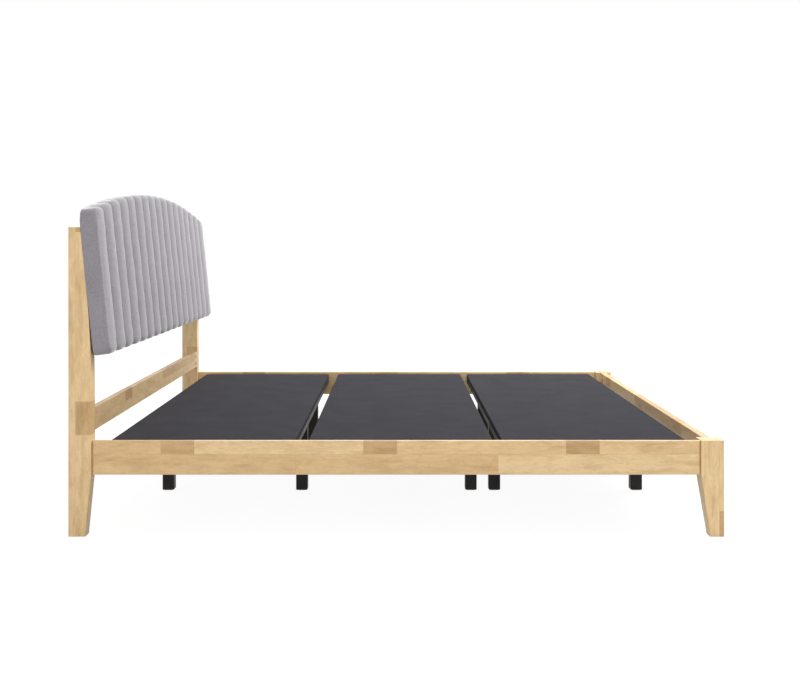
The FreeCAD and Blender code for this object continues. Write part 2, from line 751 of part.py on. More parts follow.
def channel_face():
    """Plan of the cushion: a straight back and one shallow arc for each channel."""
    count = int(value("channel_count"))
    half = value("bed_width / 2")
    pitch = 2 * half / count
    beyond = half + pitch
    groove = value("cushion_depth - channel_bulge")
    crown = value("cushion_depth")
    corners = [Vector(groove, -half, 0), Vector(groove, -beyond, 0), Vector(-pitch, -beyond, 0),
               Vector(-pitch, beyond, 0), Vector(groove, beyond, 0), Vector(groove, half, 0)]
    edges = [Part.LineSegment(start, end) for start, end in zip(corners, corners[1:])]
    for number in range(count):
        start = half - number * pitch
        edges.append(Part.Arc(Vector(groove, start, 0), Vector(crown, start - pitch / 2, 0),
                              Vector(groove, start - pitch, 0)))
    return Part.Face(Part.Wire([edge.toShape() for edge in edges]))


def shaped(name, shape, gap):
    """A shape of the headboard's own frame, seated on the posts with a gap."""
    thing = doc.addObject("Part::Feature", name)
    thing.Shape = shape
    seat = lean()
    thing.Placement = Placement(seat.multVec(Vector(gap, 0, 0)), seat.Rotation)
    return thing


def hang_bolt_rows():
    return [(height, sign) for height in BOLT_HEIGHTS for sign in (-1, 1)]


def back_plane_x(height):
    """Where the leaning post front is at a height."""
    return (f"-bed_length / 2 + post_top_width"
            f" + (post_height - ({height})) * tan(lean_angle)")


def insert_start(height):
    """Back end of a threaded insert: inside the board, clear of both its faces."""
    return (f"{back_plane_x(height)} + (cushion_gap + cover_thickness"
            f" + (back_thickness - insert_length * cos(lean_angle)) / 2) / cos(lean_angle)")


def hang_row(sign):
    return f"{sign} * (bed_width / 2 - post_thickness / 2)"


def hang_holes(radius, name):
    return [rod(name, radius, "post_width", (f"{back_plane_x(height)} - 25",
            hang_row(sign), height), "+X") for height, sign in hang_bolt_rows()]


def headboard_cushion():
    """Channelled foam and fabric over the board: arched front, rounded edges, sewn grooves.

    The rounded block is a little deeper than the crowns, so each crown meets the rounding at a
    clear angle.
    """
    depth = value("cushion_depth + cushion_lead")
    outline = headboard_outline(0, 0).extrude(Vector(depth, 0, 0))
    front = [edge for edge in outline.Edges
             if all(abs(vertex.Point.x - depth) < 1e-6 for vertex in edge.Vertexes)]
    rounded = outline.makeFillet(value("cushion_edge_radius"), front)
    margin = 20
    channels = channel_face().extrude(Vector(0, 0, value("cushion_rise") + 2 * margin))
    channels.translate(Vector(0, 0, -margin))
    body = rounded.common(channels)
    play = value("hole_play")
    recess_depth = value("cover_thickness + back_thickness") + play
    recess = headboard_outline(value("back_margin") - play, -1)
    body = body.cut(recess.extrude(Vector(recess_depth + 1, 0, 0)))
    return finish("headboard_cushion", shaped("headboard_cushion", body, value("cushion_gap")))


def headboard_back():
    board = headboard_outline(value("back_margin"), 0)
    board = board.extrude(Vector(value("back_thickness"), 0, 0))
    gap = value("cushion_gap + cover_thickness")
    base = shaped("back_board", board, gap)
    bores = hang_holes("insert_radius + hole_play", "insert_bore")
    return finish("headboard_back_board", cut("headboard_back_board", base, bores))


def headboard_cover():
    cover = headboard_outline(value("cover_margin"), 0)
    cover = cover.extrude(Vector(value("cover_thickness"), 0, 0))
    base = shaped("cover_sheet", cover, value("cushion_gap"))
    slits = hang_holes("bolt_radius + hole_play", "cover_slit")
    return finish("headboard_dust_cover", cut("headboard_dust_cover", base, slits))


def hang_hardware():
    """Bolts through the posts and the threaded inserts that they turn into."""
    bolts = []
    inserts = []
    for height, sign in hang_bolt_rows():
        row = hang_row(sign)
        seat = "-bed_length / 2 + hang_recess_depth"
        head = rod("hang_head", "bolt_head_radius", "bolt_head_height",
                        (f"{seat} - bolt_head_height", row, height), "+X")
        reach = f"{insert_start(height)} + insert_length - ({seat})"
        shank = rod("hang_shank", "bolt_radius", reach, (seat, row, height), "+X")
        bolts.append(fuse("hang_bolt", [head, shank]))
        sleeve = rod("insert_sleeve", "insert_radius", "insert_length",
                          (insert_start(height), row, height), "+X")
        bore = rod("insert_thread", "bolt_radius + hole_play", "insert_length + 2",
                        (f"{insert_start(height)} - 1", row, height), "+X")
        inserts.append(cut("insert", sleeve, [bore]))
    finish("headboard_bolts", group("headboard_bolts", bolts))
    finish("headboard_inserts", group("headboard_inserts", inserts))


# ---------------------------------------------------------------- feet


def felt_pad(label, x, y):
    pad = rod(label, "pad_radius", "pad_height", (x, y, "0"), "+Z", "shown_sides")
    return finish(label, pad)


# ---------------------------------------------------------------- the bed

for side, sign in SIDES:
    head_post(side, sign)
    foot_leg(side, sign)
    side_rail(side, sign)
    felt_pad(f"felt_pad_head_{side}", "-bed_length / 2 + post_foot_width / 2",
             signed(sign, "bed_width / 2 - post_thickness / 2"))
    felt_pad(f"felt_pad_foot_{side}", "bed_length / 2 - leg_foot_width / 2",
             signed(sign, "bed_width / 2 - leg_foot_width / 2"))

cross_rail("head_rail", "head", "head_rail_thickness", HEAD_RAIL_MIDDLE, "head_rail_bottom",
           "head_rail_height", f"2 * ({POST_INNER})")
cross_rail("foot_rail", "foot", "foot_rail_thickness", FOOT_RAIL_MIDDLE, "rail_bottom",
           "rail_height", f"2 * ({LEG_INNER})")

finish("cam_locks", group("cam_locks", [cam for joint in JOINTS.values() for cam in joint.cams()]))
finish("cam_pins", group("cam_pins", [pin for joint in JOINTS.values() for pin in joint.pins()]))
finish("rail_dowels", group("rail_dowels", [joint.dowel() for joint in JOINTS.values()]))

headboard_cushion()
headboard_back()
headboard_cover()
hang_hardware()

all_ledge_screws = []
for side, sign in SIDES:
    for number in (1, 2, 3):
        ledge(number, side, sign)
        all_ledge_screws += ledge_screws(side, sign, LEDGE_PLACES[number - 1])[0]
finish("ledge_screws", group("ledge_screws", all_ledge_screws))

for number in (1, 2, 3):
    deck_board(number)
    deck_frame(number)
    glides = []
    for end, x in leg_places(number):
        for side, sign in SIDES:
            deck_leg(number, end, x, side, sign)
            glides.append(deck_glide(x, sign))
    finish(f"deck_{number}_glides", group(f"deck_{number}_glides", glides))
    finish(f"deck_{number}_leg_bolts", group(f"deck_{number}_leg_bolts", plate_bolts(number)[0]))

doc.recompute()

# ---------------------------------------------------------------- checks and files

for thing in doc.Objects:
    if "Invalid" in thing.State or "Error" in thing.State:
        raise RuntimeError(f"{thing.Name} failed: {thing.State}")
for thing in SUBPARTS:
    if thing.Shape.isNull() or not thing.Shape.isValid() or not thing.Shape.Solids:
        raise RuntimeError(f"{thing.Label} has no valid solid")

os.makedirs("parts", exist_ok=True)
for thing in SUBPARTS:
    thing.Shape.exportStep(f"parts/{thing.Label}.step")
print(len(SUBPARTS), "sub-parts,", sum(len(thing.Shape.Solids) for thing in SUBPARTS), "solids")
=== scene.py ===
"""Looks of the platform bed: laminated wood, channelled cushion, clothed deck panels, steel."""
import math

import bmesh
import bpy
import numpy as np
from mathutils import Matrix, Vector, noise


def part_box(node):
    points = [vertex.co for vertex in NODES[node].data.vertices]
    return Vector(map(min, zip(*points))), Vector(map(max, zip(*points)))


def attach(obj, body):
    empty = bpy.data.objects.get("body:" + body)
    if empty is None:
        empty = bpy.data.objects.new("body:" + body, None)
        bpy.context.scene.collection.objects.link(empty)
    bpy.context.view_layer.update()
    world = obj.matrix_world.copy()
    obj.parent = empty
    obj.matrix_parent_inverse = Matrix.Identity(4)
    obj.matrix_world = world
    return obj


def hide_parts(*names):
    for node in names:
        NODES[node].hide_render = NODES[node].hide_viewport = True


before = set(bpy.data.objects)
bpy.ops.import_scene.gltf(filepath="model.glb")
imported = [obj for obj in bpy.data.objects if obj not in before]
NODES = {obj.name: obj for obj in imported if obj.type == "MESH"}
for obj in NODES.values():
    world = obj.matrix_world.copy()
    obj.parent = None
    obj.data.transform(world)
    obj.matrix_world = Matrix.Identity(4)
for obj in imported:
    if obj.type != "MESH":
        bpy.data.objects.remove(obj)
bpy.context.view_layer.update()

# ---------------------------------------------------------------- view of the photograph

PHOTO_WIDTH = 800
PHOTO_HEIGHT = 687
VANISHING_X = 396.24
HORIZON_Y = 243.77
FOCAL_PIXELS = 1126.6
SENSOR_WIDTH = 36.0
CAMERA_HEIGHT = 0.9715
CAMERA_Y = -4.748


def add_camera():
    """A level camera looking along +Y, with its frame shifted down as in the photograph."""
    data = bpy.data.cameras.new("camera")
    data.sensor_width = SENSOR_WIDTH
    data.lens = SENSOR_WIDTH * FOCAL_PIXELS / PHOTO_WIDTH
    data.shift_x = (PHOTO_WIDTH / 2 - VANISHING_X) / PHOTO_WIDTH
    data.shift_y = (HORIZON_Y - PHOTO_HEIGHT / 2) / PHOTO_WIDTH
    data.clip_end = 100
    camera = bpy.data.objects.new("camera", data)
    camera.location = (0, CAMERA_Y, CAMERA_HEIGHT)
    camera.rotation_euler = (math.pi / 2, 0, 0)
    bpy.context.scene.collection.objects.link(camera)
    bpy.context.scene.camera = camera


# ---------------------------------------------------------------- colours


def linear(red, green, blue):
    """A colour as seen on screen, 0 to 255, as the linear colour that a shader takes."""
    out = []
    for level in (red, green, blue):
        level /= 255
        out.append(level / 12.92 if level <= 0.04045 else ((level + 0.055) / 1.055) ** 2.4)
    return (*out, 1)


# ---------------------------------------------------------------- material helpers


class Nodes:
    """A material under construction: short calls that add and link shader nodes."""

    def __init__(self, name):
        self.material = bpy.data.materials.new(name)
        self.material.use_nodes = True
        self.tree = self.material.node_tree
        self.tree.nodes.clear()
        self.output = self.add("ShaderNodeOutputMaterial")
        self.shader = self.add("ShaderNodeBsdfPrincipled")
        self.link(self.shader.outputs[0], self.output.inputs["Surface"])

    def add(self, kind, **settings):
        node = self.tree.nodes.new(kind)
        for key, setting in settings.items():
            setattr(node, key, setting)
        return node

    def link(self, start, end):
        self.tree.links.new(start, end)

    def feed(self, socket, thing):
        """Links an output, or writes a constant."""
        if hasattr(thing, "is_output"):
            self.link(thing, socket)
        elif thing is not None:
            socket.default_value = thing

    def place(self):
        return self.add("ShaderNodeTexCoord").outputs["Object"]

    def math(self, operation, first, second=None, third=None):
        node = self.add("ShaderNodeMath", operation=operation)
        for socket, thing in zip(node.inputs, (first, second, third)):
            self.feed(socket, thing)
        return node.outputs[0]

    def vector(self, operation, first, second=None):
        node = self.add("ShaderNodeVectorMath", operation=operation)
        for socket, thing in zip(node.inputs, (first, second)):
            self.feed(socket, thing)
        return node.outputs[0]

    def parts(self, vector):
        node = self.add("ShaderNodeSeparateXYZ")
        self.link(vector, node.inputs[0])
        return node.outputs

    def join(self, x, y, z):
        node = self.add("ShaderNodeCombineXYZ")
        for socket, thing in zip(node.inputs, (x, y, z)):
            self.feed(socket, thing)
        return node.outputs[0]

    def noise(self, vector, scale, detail=4.0, roughness=0.55, distortion=0.0):
        node = self.add("ShaderNodeTexNoise")
        self.feed(node.inputs["Vector"], vector)
        node.inputs["Scale"].default_value = scale
        node.inputs["Detail"].default_value = detail
        node.inputs["Roughness"].default_value = roughness
        node.inputs["Distortion"].default_value = distortion
        return node.outputs["Fac"]

    def random(self, vector):
        node = self.add("ShaderNodeTexWhiteNoise", noise_dimensions="3D")
        self.feed(node.inputs["Vector"], vector)
        return node.outputs["Value"], node.outputs["Color"]

    def ramp(self, factor, stops):
        """stops are (place, colour) or (place, grey level)."""
        node = self.add("ShaderNodeValToRGB")
        elements = node.color_ramp.elements
        while len(elements) < len(stops):
            elements.new(0.5)
        for element, (place, colour) in zip(elements, stops):
            element.position = place
            element.color = colour if hasattr(colour, "__len__") else (colour,) * 3 + (1,)
        self.feed(node.inputs[0], factor)
        return node.outputs[0]

    def mix(self, factor, first, second, blend="MIX"):
        node = self.add("ShaderNodeMix", data_type="RGBA", blend_type=blend)
        self.feed(node.inputs["Factor"], factor)
        self.feed(node.inputs[6], first)
        self.feed(node.inputs[7], second)
        return node.outputs[2]

    def bump(self, height, strength, distance, normal=None):
        node = self.add("ShaderNodeBump")
        self.feed(node.inputs["Height"], height)
        node.inputs["Strength"].default_value = strength
        node.inputs["Distance"].default_value = distance
        self.feed(node.inputs["Normal"], normal)
        return node.outputs[0]

    def finish(self, colour, roughness, normal=None, **constants):
        """Sets the shader; constants are its sockets by name, with spaces as underscores."""
        self.feed(self.shader.inputs["Base Color"], colour)
        self.feed(self.shader.inputs["Roughness"], roughness)
        self.feed(self.shader.inputs["Normal"], normal)
        for name, setting in constants.items():
            self.shader.inputs[name.replace("_", " ")].default_value = setting
        return self.material


# ---------------------------------------------------------------- wood

WOOD_LIGHT = linear(228, 200, 152)
WOOD_MID = linear(215, 182, 132)
WOOD_DARK = linear(190, 153, 104)
WOOD_SHADE = (0.80, 0.74, 0.64, 1)
WOOD_PORE = linear(146, 112, 72)
WOOD_PERIOD = 0.672                              # one long block and one short darker one
SHORT_BLOCK = 0.165                              # share of the period


def wood(name, along, strips, shift=0.0, way=1, seed=0.0, painted_shade=1.0):
    """Finger-jointed hardwood: strips glued side by side, each made of blocks end to end.

    along is the grain's axis, 0 to 2, and way the direction in which each long block is followed
    by a short one. strips is (axis, edge, edge, ...): the glue lines' places on a second axis, in
    metres. Blocks of neighbouring strips are staggered; a last argument below 1 is painted shade.
    """
    m = Nodes(name)
    where = m.parts(m.place())
    strip_axis, *edges = strips
    strip = 0.0
    for edge in edges:
        past = m.math("GREATER_THAN", where[strip_axis], edge)
        strip = m.math("ADD", past, strip)
    period = m.math("MULTIPLY_ADD", where[along], way / WOOD_PERIOD, shift / WOOD_PERIOD)
    period = m.math("MULTIPLY_ADD", strip, 0.5, period)
    inside = m.math("FRACT", period)
    short = m.math("GREATER_THAN", m.math("MULTIPLY", inside, strip), 1 - SHORT_BLOCK)
    number = m.math("MULTIPLY_ADD", short, 0.5, m.math("FLOOR", period))
    tone, tint = m.random(m.join(number, strip, seed))
    tone = m.math("MULTIPLY", tone, m.math("MULTIPLY_ADD", short, -0.85, 1.0))
    # grain, stretched along the block and moved at random from block to block
    offset = m.vector("MULTIPLY", tint, (37.0, 23.0, 51.0))

    def stretched(lengthwise, crosswise):
        stretch = [crosswise] * 3
        stretch[along] = lengthwise
        return m.vector("ADD", m.vector("MULTIPLY", m.place(), tuple(stretch)), offset)

    figure = m.noise(stretched(4.0, 22.0), 1.3, detail=5, roughness=0.6, distortion=0.6)
    mottle = m.noise(stretched(22.0, 60.0), 1.0, detail=4, roughness=0.7, distortion=0.4)
    fibre = m.noise(stretched(14.0, 260.0), 1.0, detail=3, roughness=0.7)
    pores = m.noise(stretched(55.0, 520.0), 1.0, detail=2, roughness=0.6)
    pore_mask = m.ramp(pores, [(0.60, 0.0), (0.72, 1.0)])
    # block tone, then figure, mottle, fibre and pores
    tone_colour = m.ramp(tone, [(0.0, WOOD_DARK), (0.30, WOOD_MID), (1.0, WOOD_LIGHT)])
    figured = m.ramp(figure, [(0.30, WOOD_SHADE), (0.50, 1.0), (0.75, 1.10)])
    colour = m.mix(0.9, tone_colour, figured, "MULTIPLY")
    mottled = m.ramp(mottle, [(0.32, (0.86, 0.82, 0.76, 1)), (0.55, 1.0), (0.75, 1.06)])
    colour = m.mix(0.8, colour, mottled, "MULTIPLY")
    fibred = m.ramp(fibre, [(0.30, 0.88), (0.65, 1.04)])
    colour = m.mix(0.6, colour, fibred, "MULTIPLY")
    colour = m.mix(m.math("MULTIPLY", pore_mask, 0.35), colour, WOOD_PORE)
    # fine dark lines at the glue joints
    edge_gap = m.math("ABSOLUTE", m.math("SUBTRACT", inside, 0.5))
    joint = m.math("GREATER_THAN", edge_gap, 0.5 - 0.0006 / WOOD_PERIOD)
    for edge in edges:
        near = m.math("ABSOLUTE", m.math("SUBTRACT", where[strip_axis], edge))
        joint = m.math("MAXIMUM", joint, m.math("LESS_THAN", near, 0.0005))
    colour = m.mix(m.math("MULTIPLY", joint, 0.22), colour, WOOD_PORE)
    height = m.math("SUBTRACT", m.math("MULTIPLY", fibre, 0.4), pore_mask)
    height = m.math("SUBTRACT", height, m.math("MULTIPLY", joint, 1.5))
    normal = m.bump(height, 0.35, 0.0004)
    roughness = m.ramp(fibre, [(0.2, 0.42), (0.8, 0.56)])
    # painted shade: the last argument darkens the whole piece's colour, for a piece that lies in
    # shade
    colour = m.mix(1.0, colour, (painted_shade, painted_shade**1.1, painted_shade**1.25, 1), "MULTIPLY")
    return m.finish(colour, roughness, normal, Coat_Weight=0.08, Coat_Roughness=0.35)


def plain_wood(name, tint, along):
    """Raw wood or plywood without blocks."""
    m = Nodes(name)
    stretch = [40.0, 40.0, 40.0]
    stretch[along] = 3.0
    figure = m.noise(m.vector("MULTIPLY", m.place(), tuple(stretch)), 1.5, detail=5)
    shade = m.ramp(figure, [(0.3, 0.78), (0.7, 1.08)])
    colour = m.mix(1.0, tint, shade, "MULTIPLY")
    return m.finish(colour, 0.7, m.bump(figure, 0.3, 0.0005))


# ---------------------------------------------------------------- cloth, steel, plastic

WOVEN_MOTTLE = 0.10                              # how much lighter and darker its patches are


def woven(name, tint, pitch, contrast, roughness, relief, axes="XY"):
    """Plain-woven cloth: crossing threads from waves, softened by noise."""
    m = Nodes(name)
    place = m.place()
    wobble = m.noise(place, 60.0, detail=2)
    moved = m.vector("ADD", place, m.vector("MULTIPLY", m.join(wobble, wobble, wobble),
                                            (pitch * 0.8,) * 3))
    x, y, z = m.parts(moved)
    across = {"X": x, "Y": y, "Z": z}
    turn = 2 * math.pi / pitch
    first = m.math("SINE", m.math("MULTIPLY", across[axes[0]], turn))
    second = m.math("SINE", m.math("MULTIPLY", across[axes[1]], turn))
    weave = m.math("MULTIPLY_ADD", m.math("MULTIPLY", first, second), 0.5, 0.5)
    fuzz = m.noise(place, 1.2 / pitch, detail=3, roughness=0.7)
    weave = m.math("MULTIPLY_ADD", fuzz, 0.7, m.math("MULTIPLY", weave, 0.6))
    patch = m.noise(place, 9.0, detail=3, roughness=0.5)
    tone = m.ramp(weave, [(0.25, 1 - contrast), (0.85, 1 + contrast * 0.5)])
    colour = m.mix(1.0, tint, tone, "MULTIPLY")
    blotch = m.ramp(patch, [(0.3, 1 - WOVEN_MOTTLE), (0.7, 1 + WOVEN_MOTTLE * 0.5)])
    colour = m.mix(1.0, colour, blotch, "MULTIPLY")
    normal = m.bump(weave, 0.6, relief)
    return m.finish(colour, roughness, normal, Specular_IOR_Level=0.05)


def nubby(name, tint):
    """Upholstery cloth with small uneven nubs, over a plain weave."""
    m = Nodes(name)
    place = m.place()
    nubs = m.noise(place, 150.0, detail=3, roughness=0.7)
    threads = m.noise(m.vector("MULTIPLY", place, (1.0, 1.0, 0.45)), 520.0, detail=2)
    cells = m.add("ShaderNodeTexVoronoi", feature="F1")
    m.link(place, cells.inputs["Vector"])
    cells.inputs["Scale"].default_value = 230.0
    patch = m.noise(place, 6.0, detail=3)
    height = m.math("MULTIPLY_ADD", nubs, 1.1, m.math("MULTIPLY", threads, 0.5))
    height = m.math("SUBTRACT", height, m.math("MULTIPLY", cells.outputs["Distance"], 0.6))
    tone = m.ramp(height, [(0.30, 0.86), (0.62, 1.0), (0.95, 1.12)])
    colour = m.mix(1.0, tint, tone, "MULTIPLY")
    colour = m.mix(1.0, colour, m.ramp(patch, [(0.3, 0.95), (0.7, 1.03)]), "MULTIPLY")
    return m.finish(colour, 0.95, m.bump(height, 0.6, 0.0014), Sheen_Weight=1.0,
                    Sheen_Roughness=0.35, Specular_IOR_Level=0.1)


def coated_steel(name, tint, roughness=0.5):
    """Powder-coated steel with a fine orange-peel skin."""
    m = Nodes(name)
    peel = m.noise(m.place(), 900.0, detail=2)
    patch = m.noise(m.place(), 14.0, detail=3)
    shade = m.ramp(patch, [(0.3, 0.88), (0.7, 1.08)])
    colour = m.mix(1.0, tint, shade, "MULTIPLY")
    rough = m.ramp(patch, [(0.3, roughness - 0.05), (0.7, roughness + 0.08)])
    return m.finish(colour, rough, m.bump(peel, 0.15, 0.0002), Specular_IOR_Level=0.25)


def bare_metal(name, tint, roughness):
    """Plated or plain metal with fine scratches."""
    m = Nodes(name)
    scratch = m.noise(m.vector("MULTIPLY", m.place(), (60.0, 900.0, 900.0)), 1.0, detail=3)
    rough = m.ramp(scratch, [(0.3, roughness - 0.06), (0.7, roughness + 0.1)])
    shade = m.ramp(scratch, [(0.3, 0.9), (0.7, 1.05)])
    return m.finish(m.mix(1.0, tint, shade, "MULTIPLY"), rough, m.bump(scratch, 0.1, 0.0001),
                    Metallic=1.0)


def moulded(name, tint, roughness=0.45):
    """Moulded plastic with a fine grain."""
    m = Nodes(name)
    grain = m.noise(m.place(), 1400.0, detail=2)
    shade = m.ramp(grain, [(0.3, 0.92), (0.7, 1.06)])
    return m.finish(m.mix(1.0, tint, shade, "MULTIPLY"), roughness, m.bump(grain, 0.2, 0.0002))


def dress(thing, material):
    """One material all over a piece."""
    thing.data.materials.clear()
    thing.data.materials.append(material)


# ---------------------------------------------------------------- the CAD nodes' finishes

# heights of the glue lines, then the strips' widths at the posts' and legs' edges
RAIL_GLUE_LINE = 0.274
HEAD_RAIL_GLUE_LINE = 0.386
POST_STRIP = 0.024
LEG_STRIP = 0.016


def dress_frame():
    """Wood of every rail, post and leg; the glue lines lie as the photograph shows them."""
    for side, sign in (("left", -1), ("right", 1)):
        post_low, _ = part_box(f"head_post_{side}")
        dress(NODES[f"head_post_{side}"],
              wood(f"wood_head_post_{side}", 2, (0, post_low.x + POST_STRIP), 0.0025, -1, 9 + sign))
        _, leg_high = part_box(f"foot_leg_{side}")
        dress(NODES[f"foot_leg_{side}"],
              wood(f"wood_foot_leg_{side}", 2, (0, leg_high.x - LEG_STRIP), 0.25, 1, 30 + sign))
        dress(NODES[f"side_rail_{side}"],
              wood(f"wood_side_rail_{side}", 0, (2, RAIL_GLUE_LINE), 0.334, 1, 13 + sign))
    # painted shade: the head rail is darkened all over to 0.68, for the shade it lies in below the
    # cushion
    dress(NODES["head_rail"],
          wood("wood_head_rail", 1, (2, HEAD_RAIL_GLUE_LINE), 0.1, 1, 21, 0.68))
    dress(NODES["foot_rail"], wood("wood_foot_rail", 1, (2, RAIL_GLUE_LINE), 0.2, 1, 25))


def dress_hardware():
    steel = coated_steel("black_steel", linear(38, 34, 32))
    cam = coated_steel("black_cam", linear(44, 42, 42), 0.4)
    zinc = bare_metal("zinc_steel", linear(196, 198, 202), 0.32)
    brass = bare_metal("brass", linear(205, 172, 104), 0.34)
    plastic = moulded("black_plastic", linear(38, 37, 38))
    felt = woven("felt", linear(92, 76, 62), 0.0015, 0.3, 0.95, 0.0006)
    cover = woven("dust_cover", linear(44, 44, 46), 0.0012, 0.25, 0.9, 0.0003, axes="YZ")
    dowel = plain_wood("dowel_wood", linear(206, 176, 130), 0)
    plywood = plain_wood("plywood", linear(196, 164, 120), 1)
    for node, thing in NODES.items():
        if node.startswith("ledge_") and node != "ledge_screws":
            dress(thing, steel)
        elif node.endswith("_frame") or "_leg_foot" in node or "_leg_head" in node:
            dress(thing, steel)
        elif node.endswith("_glides"):
            dress(thing, plastic)
        elif node in ("cam_pins", "headboard_bolts", "ledge_screws") or node.endswith("_bolts"):
            dress(thing, zinc)
        elif node.startswith("felt_pad"):
            dress(thing, felt)
    dress(NODES["cam_locks"], cam)
    dress(NODES["headboard_inserts"], brass)
    dress(NODES["headboard_dust_cover"], cover)
    dress(NODES["rail_dowels"], dowel)
    dress(NODES["headboard_back_board"], plywood)


# ---------------------------------------------------------------- mesh helpers


def mesh_object(name, points, faces, smooth=True):
    mesh = bpy.data.meshes.new(name)
    mesh.from_pydata([tuple(point) for point in points], [], faces)
    mesh.validate()
    mesh.update()
    if smooth:
        mesh.polygons.foreach_set("use_smooth", [True] * len(mesh.polygons))
    thing = bpy.data.objects.new(name, mesh)
    bpy.context.scene.collection.objects.link(thing)
    return thing


def apply_modifiers(thing):
    """The evaluated mesh becomes the piece's own mesh."""
    shown = thing.evaluated_get(bpy.context.evaluated_depsgraph_get())
    mesh = bpy.data.meshes.new_from_object(shown)
    thing.modifiers.clear()
    old = thing.data
    thing.data = mesh
    bpy.data.meshes.remove(old)


# ---------------------------------------------------------------- headboard cushion

LEAN = math.radians(5.8)
HALF_WIDTH = 1.019
CUSHION_FOOT = Vector((-1.0029, 0, 0.597))       # back lower edge, on the posts' leaning fronts
CUSHION_GAP = 0.0003
CUSHION_RISE = 0.575
ARCH_RADIUS = 6.0
CUSHION_DEPTH = 0.064
SEAM_DEPTH = 0.044
CHANNELS = 17
CHANNEL_PITCH = 2 * HALF_WIDTH / CHANNELS
TOP_CORNER = (0.044, 0.041)                      # half axes of the rounded corners, across and up
LOW_CORNER = (0.032, 0.028)
FRONT_ROUNDING = 0.022
SIDE_ROUNDING = 0.005
HEM = 0.0015                                     # fabric's edge inside the cushion's box
END_PUFF = 0.009                                 # a channel's end stands this far past its seams
SIDE_CROWN = 0.003
WRAP = 0.0117                                    # fabric turned over the back board's edge
CORNER_WRAP = 0.0130                             # the same at the rounded corners
BOARD_MARGIN = 0.0048
CORNER_MARGIN = 0.0095
BOARD_FRONT = 0.0163
CROWN_ROOM = 0.0015                              # left under the crowns for the puckers
SIDE_PINNED = 0.012                              # held in the simulation this near to a side
SPINE_INSET = 0.022                              # the side boxing's middle line ends here
CREASE_ANGLE = math.radians(50)
CREASE = 0.8


def cushion_point(out, across, up):
    """A point of the headboard's own frame: out of the posts, across the bed, up the lean."""
    out += CUSHION_GAP
    x = CUSHION_FOOT.x + out * math.cos(LEAN) - up * math.sin(LEAN)
    z = CUSHION_FOOT.z + out * math.sin(LEAN) + up * math.cos(LEAN)
    return Vector((x, across, z))


def corner_drop(across, corner):
    """How far a rounded corner lies inside the square one."""
    width, height = corner
    inside = min(max(abs(across) - HALF_WIDTH + width, 0) / width, 1)
    return height * (1 - math.sqrt(1 - inside**2))


def top_of(across):
    """Height of the arched top, rounded at the upper corners."""
    arch = CUSHION_RISE - ARCH_RADIUS + math.sqrt(ARCH_RADIUS**2 - across**2)
    return arch - corner_drop(across, TOP_CORNER)


def bottom_of(across):
    return corner_drop(across, LOW_CORNER)


def cushion_columns():
    """Places across the cushion: even in a channel, closer at its seams and at the sides."""
    share = [0.0, 0.015, 0.035, 0.065, 0.11, 0.17, 0.25, 0.35, 0.45]
    share += [1 - value for value in share[:0:-1]]
    columns = {-HALF_WIDTH + (channel + value) * CHANNEL_PITCH
               for channel in range(CHANNELS) for value in share}
    width = TOP_CORNER[0]
    columns = {y for y in columns if abs(y) < HALF_WIDTH - width - 0.002}
    for step in range(17):
        reach = HALF_WIDTH - width * (1 - math.cos(math.pi / 2 * step / 16))
        columns |= {reach, -reach}
    return sorted(columns)


def puff(across):
    """0 in a seam, 1 on a channel's crown; the end channels fall off to the side boxing."""
    place = (across + HALF_WIDTH) / CHANNEL_PITCH
    side = min(place, CHANNELS - place)
    if side < 0.5:
        return 1 - 0.40 * (1 - 2 * side) ** 2
    inside = place - math.floor(place)
    return max(1 - (2 * inside - 1) ** 2, 0) ** 0.7


def ripple(across, up):
    """Small puckers along a channel, deeper towards its seams; metres."""
    channel = math.floor((across + HALF_WIDTH) / CHANNEL_PITCH)
    wave = noise.noise((channel * 7.3, up * 24.0, across * 6.0))
    fine = noise.noise((channel * 3.1 + 50, up * 60.0, across * 14.0))
    return 0.0022 * wave + 0.0009 * fine


def cushion_section(across):
    """One column from the upper back edge over the front: (out, up, share, outward) points.

    share rises from 0 at the stapled hem to 1 on the front, outward is +1 on the upper half and
    -1 on the lower.
    """
    top = top_of(across) - HEM
    bottom = bottom_of(across) + HEM
    inset = max(SIDE_ROUNDING - (HALF_WIDTH - abs(across)), 0)
    front = SEAM_DEPTH - SIDE_ROUNDING + math.sqrt(SIDE_ROUNDING**2 - inset**2)
    upper = []
    steps = 5
    for step in range(steps):
        share = step / steps
        upper.append((share * (front - FRONT_ROUNDING), 0, share))
    steps = 8
    for step in range(steps + 1):
        turn = math.pi / 2 * step / steps
        upper.append((front - FRONT_ROUNDING * (1 - math.sin(turn)),
                      FRONT_ROUNDING * (1 - math.cos(turn)), 1))
    points = [(out, top - fall, share, 1) for out, fall, share in upper]
    steps = 78
    reach = top - bottom - 2 * FRONT_ROUNDING
    for step in range(1, steps):
        points.append((front, top - FRONT_ROUNDING - step / steps * reach, 1, 0))
    points += [(out, bottom + fall, share, -1) for out, fall, share in reversed(upper)]
    return points


def back_section(across):
    """The back of one column, from the lower edge to the upper: a hem and the board's recess."""
    top = top_of(across) - HEM
    bottom = bottom_of(across) + HEM
    middle = (top + bottom) / 2
    side = HALF_WIDTH - abs(across)
    lip = 0.0009
    if side < BOARD_MARGIN:
        return [(0, middle)] * 2 + [(lip, middle)] * 4 + [(0, middle)] * 2
    outer = BOARD_MARGIN - HEM if side > TOP_CORNER[0] else CORNER_MARGIN
    inner = WRAP - HEM if side > TOP_CORNER[0] else CORNER_WRAP
    if side < WRAP:
        low_hem, high_hem = middle, middle
    else:
        low_hem, high_hem = bottom + inner, top - inner
    low, high = bottom + outer, top - outer
    return [(0, low_hem), (lip, low_hem), (lip, low), (BOARD_FRONT, low),
            (BOARD_FRONT, high), (lip, high), (lip, high_hem), (0, high_hem)]


